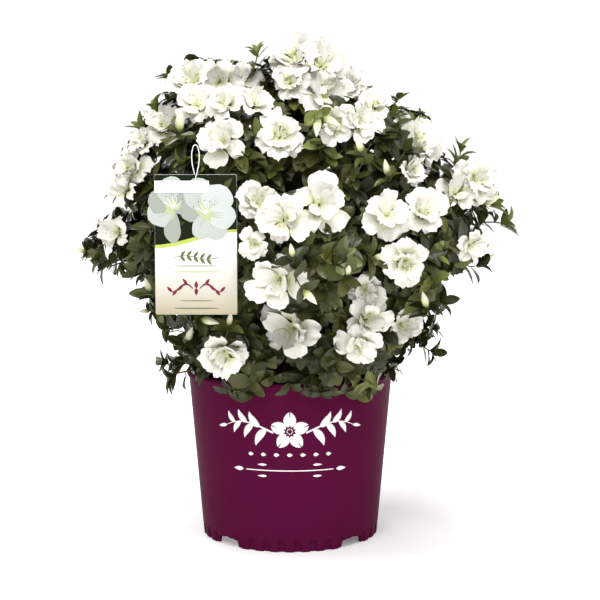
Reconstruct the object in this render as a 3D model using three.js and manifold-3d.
// An azalea shrub in a three-gallon nursery pot, in millimetres, +Z up.
// The origin is the middle of the pot's underside, and the front of the shrub looks along -Y.
// A short stem stands in the potting mix and forks into boughs, and each bough ends where it enters
// one of the leafy masses that make up the crown. A care tag hangs at the front left.

import * as THREE from "three";
import { mergeVertices } from "three/addons/utils/BufferGeometryUtils.js";
import Module from "manifold-3d";

// ---------------------------------------------------------------- driving dimensions

const RIM_RADIUS = 140;
const BASE_RADIUS = 118;
const POT_HEIGHT = 224;
const WALL = 2.5;
const RIM_BEAD = 2.5; // how far the rolled rim stands out from the wall
const RIM_DEPTH = 6;
const FLOOR_HEIGHT = 12; // the pot's floor stands this far above the ground
const FLOOR_THICK = 3;
const SKIRT_THICK = 4; // of the wall below the floor, on which the pot stands
const CENTRE_FOOT_RADIUS = 34;
const FOOT_FLARE = 6;
const EDGE = 1.5; // bevels on the rim and the foot
const DRAIN_ARCHES = 4; // gaps in the skirt between the four feet
const ARCH_WIDTH = 34;
const ARCH_HEIGHT = 10;
const ARCH_DEPTH = 30;
const ROUND_SIDES = 32;

const SOIL_TOP = 200;
const SOIL_FLAT_RADIUS = 45;
const SOIL_EDGE_DROP = 5;

const STEM_FLARE_RADIUS = 19;
const STEM_RADIUS = 12.5;
const STEM_HEIGHT = 46;
const STEM_LEAN = 5;
const STEM_TAPER = 1.5;
const STEM_SIDES = 12;
const STEM_RINGS = 6;

const TAG_WIDTH = 97;
const TAG_HEIGHT = 166;
const TAG_THICK = 1;
const TAG_CORNER = 2;
const TAG_HOLE_RADIUS = 3;
const TAG_HOLE_DROP = 7; // from the tag's top edge to the middle of its hole
const TAG_MIDDLE = new THREE.Vector3(-110, -238, 408);
const TAG_CLEARANCE = 4.5;
const TIE_LENGTH = 34;
const TIE_THICK = 1.6;

const GAP = 0.4; // left between solids that meet
const MASS_GAP = 1.2; // left between neighbouring masses
const CORE_RADIUS = 46; // the crown's open middle, where the boughs rise
const CROWN_FLOOR = POT_HEIGHT + 3; // the masses end above the rim
const MASS_DETAIL = 3;
const BACK_MASS_DETAIL = 2; // the masses behind the stem are a little coarser
const BACK_BEARING = 120;
const BOUGH_SIDES = 6;
const BOUGH_STEPS = 6;

// Each mass of foliage: its middle as a bearing in degrees from the front, positive to the right, a
// distance out from the stem's axis and a height, then its half-sizes across, outwards and upwards.
const MASSES = [
  ["top", 70, 22, 597, 78, 74, 72],
  ["top_left", -93, 100, 580, 78, 70, 68],
  ["top_right", 93, 142, 541, 78, 64, 67],
  ["left_shoulder", -91, 164, 498, 84, 76, 64],
  ["right_shoulder", 89, 206, 468, 84, 78, 70],
  ["front_left_shoulder", -31, 150, 524, 78, 70, 68],
  ["front_right_shoulder", 29, 156, 512, 82, 76, 72],
  ["back_left_shoulder", -148, 148, 530, 84, 78, 72],
  ["back_right_shoulder", 146, 154, 518, 84, 78, 74],
  ["left_arm", -91, 210, 392, 64, 76, 44],
  ["right_arm", 90, 236, 400, 66, 78, 54],
  ["front_left_belly", -43, 192, 400, 82, 62, 70],
  ["front_belly", 3, 206, 394, 84, 76, 74],
  ["front_right_belly", 44, 206, 398, 84, 76, 72],
  ["back_right_belly", 137, 204, 402, 86, 78, 74],
  ["back_belly", 180, 208, 406, 84, 78, 74],
  ["back_left_belly", -137, 200, 398, 86, 78, 74],
  ["left_skirt", -88, 130, 306, 82, 68, 55],
  ["front_left_skirt", -30, 148, 290, 76, 62, 60],
  ["front_right_skirt", 28, 150, 290, 78, 64, 60],
  ["right_skirt", 86, 142, 300, 82, 68, 57],
  ["back_right_skirt", 145, 144, 294, 80, 68, 60],
  ["back_left_skirt", -145, 142, 292, 80, 68, 60],
];

// Each bough: the mass that it enters, the bearing at which it leaves the stem, how far up the stem
// it leaves as a share of the stem's height, and its radius at the stem.
const BOUGHS = [
  ["top", 60, 0.98, 6.5],
  ["top_left", -70, 0.96, 6],
  ["top_right", 110, 0.9, 6],
  ["left_shoulder", -115, 0.8, 5.5],
  ["right_shoulder", 80, 0.72, 5.5],
  ["front_left_shoulder", -25, 0.86, 5],
  ["front_right_shoulder", 25, 0.78, 5],
  ["back_left_shoulder", -150, 0.88, 5],
  ["back_right_shoulder", 155, 0.84, 5],
  ["left_arm", -85, 0.55, 5],
  ["right_arm", 95, 0.5, 5],
  ["front_belly", 0, 0.5, 5],
  ["back_belly", 180, 0.55, 5],
];
const BOUGH_TIP_SHARE = 0.5; // a bough's radius where it enters its mass, as a share of its first
const BOUGH_ROOT_OUT = 0.35; // a bough springs from this share of the stem's radius off its axis
const BOUGH_SPREAD = 0.45; // how far a bough leans out for each unit that it rises, at its root
const BOUGH_ROOT_PULL = 0.42; // lengths of the curve's two handles, as shares of its span
const BOUGH_TIP_PULL = 0.38;
const BOUGH_TURN = 0.55; // how high on the axis, between its ends, a bough's tip points away from

const COLOURS = {
  pot: "#5b1a3c",
  soil: "#3a2a1e",
  bark: "#6b5746",
  leaves: "#46532c",
  tag: "#f2efe6",
  tie: "#f6f6f2",
};

// ---------------------------------------------------------------- solids

const wasm = await Module();
wasm.setup();

function solidOf(geometry) {
  const bare = geometry.clone();
  bare.deleteAttribute("normal");
  bare.deleteAttribute("uv");
  const merged = mergeVertices(bare, 1e-3);
  return new wasm.Manifold(
    new wasm.Mesh({
      numProp: 3,
      vertProperties: new Float32Array(merged.attributes.position.array),
      triVerts: new Uint32Array(merged.index.array),
    }),
  );
}

// The largest of the bodies that a cut left, as a geometry.
function geometryOf(solid) {
  const bodies = solid.decompose().sort((a, b) => b.volume() - a.volume());
  const mesh = bodies[0].getMesh();
  return new THREE.BufferGeometry()
    .setAttribute("position", new THREE.BufferAttribute(new Float32Array(mesh.vertProperties), 3))
    .setIndex(new THREE.BufferAttribute(new Uint32Array(mesh.triVerts), 1));
}

function without(geometry, ...cutters) {
  const solid = solidOf(geometry);
  return geometryOf(cutters.reduce((left, cutter) => left.subtract(solidOf(cutter)), solid));
}

// A lathe turns about Y, so it is tipped up to stand on Z.
function turned(profile, sides = ROUND_SIDES) {
  const points = profile.map(([radius, height]) => new THREE.Vector2(radius, height));
  return new THREE.LatheGeometry(points, sides).rotateX(Math.PI / 2);
}

// ---------------------------------------------------------------- pot and potting mix

function wallRadius(height) {
  return BASE_RADIUS + ((RIM_RADIUS - RIM_BEAD - BASE_RADIUS) * height) / POT_HEIGHT;
}

function potGeometry() {
  const beadFoot = POT_HEIGHT - RIM_DEPTH;
  const shell = turned([
    [0, 0],
    [CENTRE_FOOT_RADIUS, 0],
    [CENTRE_FOOT_RADIUS + FOOT_FLARE, FLOOR_HEIGHT],
    [BASE_RADIUS - SKIRT_THICK - EDGE, FLOOR_HEIGHT],
    [BASE_RADIUS - SKIRT_THICK, 0],
    [BASE_RADIUS - EDGE, 0],
    [wallRadius(EDGE), EDGE],
    [wallRadius(beadFoot - RIM_BEAD), beadFoot - RIM_BEAD],
    [RIM_RADIUS, beadFoot],
    [RIM_RADIUS, POT_HEIGHT - EDGE],
    [RIM_RADIUS - EDGE, POT_HEIGHT],
    [wallRadius(POT_HEIGHT) - WALL, POT_HEIGHT],
    [wallRadius(FLOOR_HEIGHT + FLOOR_THICK) - WALL, FLOOR_HEIGHT + FLOOR_THICK],
    [0, FLOOR_HEIGHT + FLOOR_THICK],
  ]);
  const arches = [];
  for (let i = 0; i < DRAIN_ARCHES; i++) {
    const arch = new THREE.BoxGeometry(ARCH_DEPTH, ARCH_WIDTH, 2 * ARCH_HEIGHT);
    arch.translate(BASE_RADIUS, 0, 0);
    arches.push(arch.rotateZ(((i + 0.5) * 2 * Math.PI) / DRAIN_ARCHES));
  }
  return without(shell, ...arches);
}

function soilGeometry() {
  const bottom = FLOOR_HEIGHT + FLOOR_THICK + GAP;
  const inside = (height) => wallRadius(height) - WALL - 2 * GAP;
  const edgeTop = SOIL_TOP - SOIL_EDGE_DROP;
  return turned([
    [0, bottom],
    [inside(bottom), bottom],
    [inside(edgeTop), edgeTop],
    [SOIL_FLAT_RADIUS, SOIL_TOP],
    [0, SOIL_TOP],
  ]);
}

// ---------------------------------------------------------------- masses of foliage

function onBearing(degrees, out, height) {
  const turn = THREE.MathUtils.degToRad(degrees);
  return new THREE.Vector3(out * Math.sin(turn), -out * Math.cos(turn), height);
}

class Mass {
  constructor([name, bearing, out, height, across, deep, up], index) {
    this.name = name;
    this.detail = Math.abs(bearing) > BACK_BEARING ? BACK_MASS_DETAIL : MASS_DETAIL;
    this.middle = onBearing(bearing, out, height);
    this.outward = onBearing(bearing, 1, 0);
    this.sideways = onBearing(bearing + 90, 1, 0);
    this.halves = [across, deep, up];
    this.phase = 1.7 * index + 0.6;
    this.walls = []; // {normal, limit}: the mass keeps to normal . point <= limit
  }

  // How far the uneven egg reaches from its middle in a direction, before its walls cut it.
  reach(direction) {
    const [across, deep, up] = this.halves;
    const a = direction.dot(this.sideways);
    const d = direction.dot(this.outward);
    const u = direction.z;
    const egg = 1 / Math.sqrt((a / across) ** 2 + (d / deep) ** 2 + (u / up) ** 2);
    const lumps =
      0.07 * Math.sin(5.1 * a + 3.3 * u + this.phase) +
      0.05 * Math.sin(7.3 * d - 4.7 * a + 2 * this.phase) +
      0.03 * Math.sin(11 * u + 9 * d + 3 * this.phase);
    return egg * (1 + lumps);
  }

  addWall(normal, limit) {
    this.walls.push({ normal, limit });
  }

  // The reach with the walls applied. The mass stays a star about its middle, so it is one body.
  trimmedReach(direction) {
    let reach = this.reach(direction);
    for (const { normal, limit } of this.walls) {
      const slope = normal.dot(direction);
      if (slope > 1e-6) reach = Math.min(reach, (limit - normal.dot(this.middle)) / slope);
    }
    return reach;
  }

  geometry(grow = 0) {
    const shape = new THREE.IcosahedronGeometry(1, this.detail);
    const places = shape.attributes.position;
    const direction = new THREE.Vector3();
    for (let i = 0; i < places.count; i++) {
      direction.fromBufferAttribute(places, i).normalize();
      const place = direction.clone().multiplyScalar(this.trimmedReach(direction) + grow);
      places.setXYZ(i, ...place.add(this.middle).toArray());
    }
    return shape;
  }
}

// Two masses share the space between their middles in proportion to how far each reaches.
function partNeighbours(one, other) {
  const way = other.middle.clone().sub(one.middle);
  const distance = way.length();
  way.normalize();
  const mine = one.reach(way);
  const yours = other.reach(way.clone().negate());
  const split = (distance * mine) / (mine + yours);
  one.addWall(way, way.dot(one.middle) + split - MASS_GAP / 2);
  const back = way.clone().negate();
  other.addWall(back, back.dot(other.middle) + distance - split - MASS_GAP / 2);
}

const masses = MASSES.map((row, index) => new Mass(row, index));
masses.forEach((one, i) => masses.slice(i + 1).forEach((other) => partNeighbours(one, other)));
for (const mass of masses) {
  mass.addWall(new THREE.Vector3(0, 0, -1), -CROWN_FLOOR);
  const out = mass.middle.dot(mass.outward);
  if (out > CORE_RADIUS) mass.addWall(mass.outward.clone().negate(), -CORE_RADIUS);
}
const massNamed = Object.fromEntries(masses.map((mass) => [mass.name, mass]));

// The masses behind the tag stay behind it, and the front one keeps off its right-hand edge.
for (const name of ["front_left_belly", "front_left_shoulder"]) {
  massNamed[name].addWall(new THREE.Vector3(0, -1, 0), -(TAG_MIDDLE.y + TAG_CLEARANCE));
}
const pastTagEdge = new THREE.Vector3(-1, -0.6, 0);
const tagEdge = new THREE.Vector3(TAG_MIDDLE.x + TAG_WIDTH / 2, TAG_MIDDLE.y, 0);
massNamed.front_belly.addWall(pastTagEdge, pastTagEdge.dot(tagEdge) - TAG_CLEARANCE);

// ---------------------------------------------------------------- stem and boughs

// A cylinder whose length is laid along a curve and whose radius tapers along it.
function limbGeometry(curve, firstRadius, lastRadius, sides, steps, grow = 0) {
  const limb = new THREE.CylinderGeometry(1, 1, 1, sides, steps);
  const frames = curve.computeFrenetFrames(steps, false);
  const places = limb.attributes.position;
  for (let i = 0; i < places.count; i++) {
    const share = THREE.MathUtils.clamp(places.getY(i) + 0.5, 0, 1);
    const step = Math.round(share * steps);
    const radius = THREE.MathUtils.lerp(firstRadius, lastRadius, share) + grow;
    const place = curve
      .getPointAt(share)
      .addScaledVector(frames.binormals[step], places.getX(i) * radius)
      .addScaledVector(frames.normals[step], places.getZ(i) * radius);
    places.setXYZ(i, ...place.toArray());
  }
  return limb;
}

const stemFoot = new THREE.Vector3(0, 0, SOIL_TOP + GAP);
const stemTop = new THREE.Vector3(STEM_LEAN, -STEM_LEAN, SOIL_TOP + STEM_HEIGHT);

// The stem stands on a flat cut at the soil, flares to its roots and leans a little.
function stemGeometry(grow = 0) {
  const stem = new THREE.CylinderGeometry(1, 1, 1, STEM_SIDES, STEM_RINGS);
  const places = stem.attributes.position;
  for (let i = 0; i < places.count; i++) {
    const share = THREE.MathUtils.clamp(places.getY(i) + 0.5, 0, 1);
    const flare = (STEM_FLARE_RADIUS - STEM_RADIUS) * (1 - share) ** 3;
    const radius = STEM_RADIUS + flare - STEM_TAPER * share + grow;
    const lift = share === 1 ? grow : 0;
    const place = stemFoot.clone().lerp(stemTop, share);
    place.x += places.getX(i) * radius;
    place.y -= places.getZ(i) * radius;
    place.z += lift;
    places.setXYZ(i, ...place.toArray());
  }
  return stem;
}

// A bough leaves the stem upwards and outwards, and bends towards the middle of its mass.
function boughCurve([massName, bearing, share]) {
  const mass = massNamed[massName];
  const start = stemFoot.clone().lerp(stemTop, share);
  start.add(onBearing(bearing, BOUGH_ROOT_OUT * STEM_RADIUS, 0));
  const end = mass.middle.clone();
  const length = start.distanceTo(end);
  const rise = onBearing(bearing, BOUGH_SPREAD, 1).setLength(BOUGH_ROOT_PULL * length);
  const turn = onBearing(0, 0, THREE.MathUtils.lerp(start.z, end.z, BOUGH_TURN));
  const entry = end.clone().sub(turn).setLength(BOUGH_TIP_PULL * length);
  return new THREE.CubicBezierCurve3(start, start.clone().add(rise), end.clone().sub(entry), end);
}

function boughTube(row, grow) {
  const radius = row[3];
  return limbGeometry(
    boughCurve(row), radius, radius * BOUGH_TIP_SHARE, BOUGH_SIDES, BOUGH_STEPS, grow,
  );
}

// Each bough is cut back to the stem, to the boughs before it and to the mass that it enters.
function boughGeometry(row, index) {
  const before = BOUGHS.slice(0, index).map((other) => boughTube(other, GAP));
  return without(
    boughTube(row, 0), stemGeometry(GAP), massNamed[row[0]].geometry(2 * GAP), ...before,
  );
}

// A mass is cut round the boughs that pass it on their way to other masses.
function massGeometry(mass) {
  const passing = BOUGHS.filter(([target]) => target !== mass.name);
  return without(mass.geometry(), ...passing.map((row) => boughTube(row, 2 * GAP)));
}

// ---------------------------------------------------------------- care tag

function tagGeometry() {
  const outline = new THREE.Shape();
  const [w, h, r] = [TAG_WIDTH / 2, TAG_HEIGHT / 2, TAG_CORNER];
  outline.moveTo(-w + r, -h);
  outline.lineTo(w - r, -h);
  outline.absarc(w - r, -h + r, r, -Math.PI / 2, 0);
  outline.absarc(w - r, h - r, r, 0, Math.PI / 2);
  outline.absarc(-w + r, h - r, r, Math.PI / 2, Math.PI);
  outline.absarc(-w + r, -h + r, r, Math.PI, 1.5 * Math.PI);
  const hole = new THREE.Path();
  hole.absarc(0, h - TAG_HOLE_DROP, TAG_HOLE_RADIUS, 0, 2 * Math.PI);
  outline.holes.push(hole);
  const card = new THREE.ExtrudeGeometry(outline, {
    depth: TAG_THICK, bevelEnabled: false, curveSegments: 3,
  });
  return card.translate(0, 0, -TAG_THICK / 2).rotateX(Math.PI / 2);
}

// The tie goes through the tag's hole and up to the twig that it hangs from.
function tieGeometry() {
  return new THREE.BoxGeometry(TIE_THICK, TIE_THICK, TIE_LENGTH);
}

// ---------------------------------------------------------------- the shrub

const shrub = new THREE.Group();
shrub.name = "azalea_shrub";

function add(name, geometry, colour, roughness, parent = shrub) {
  const material = new THREE.MeshStandardMaterial({ color: colour, roughness, metalness: 0 });
  const mesh = new THREE.Mesh(geometry, material);
  mesh.name = name;
  parent.add(mesh);
  return mesh;
}

add("pot", potGeometry(), COLOURS.pot, 0.45);
add("potting_soil", soilGeometry(), COLOURS.soil, 0.95);
add("stem", stemGeometry(), COLOURS.bark, 0.85);
BOUGHS.forEach((row, i) => add(`bough_${row[0]}`, boughGeometry(row, i), COLOURS.bark, 0.85));
for (const mass of masses) add(`mass_${mass.name}`, massGeometry(mass), COLOURS.leaves, 0.6);

const hanging = new THREE.Group();
hanging.position.copy(TAG_MIDDLE);
shrub.add(hanging);
add("plant_tag", tagGeometry(), COLOURS.tag, 0.5, hanging);
const tie = add("tag_tie", tieGeometry(), COLOURS.tie, 0.4, hanging);
tie.position.z = TAG_HEIGHT / 2 + GAP + TIE_LENGTH / 2;

export default shrub;
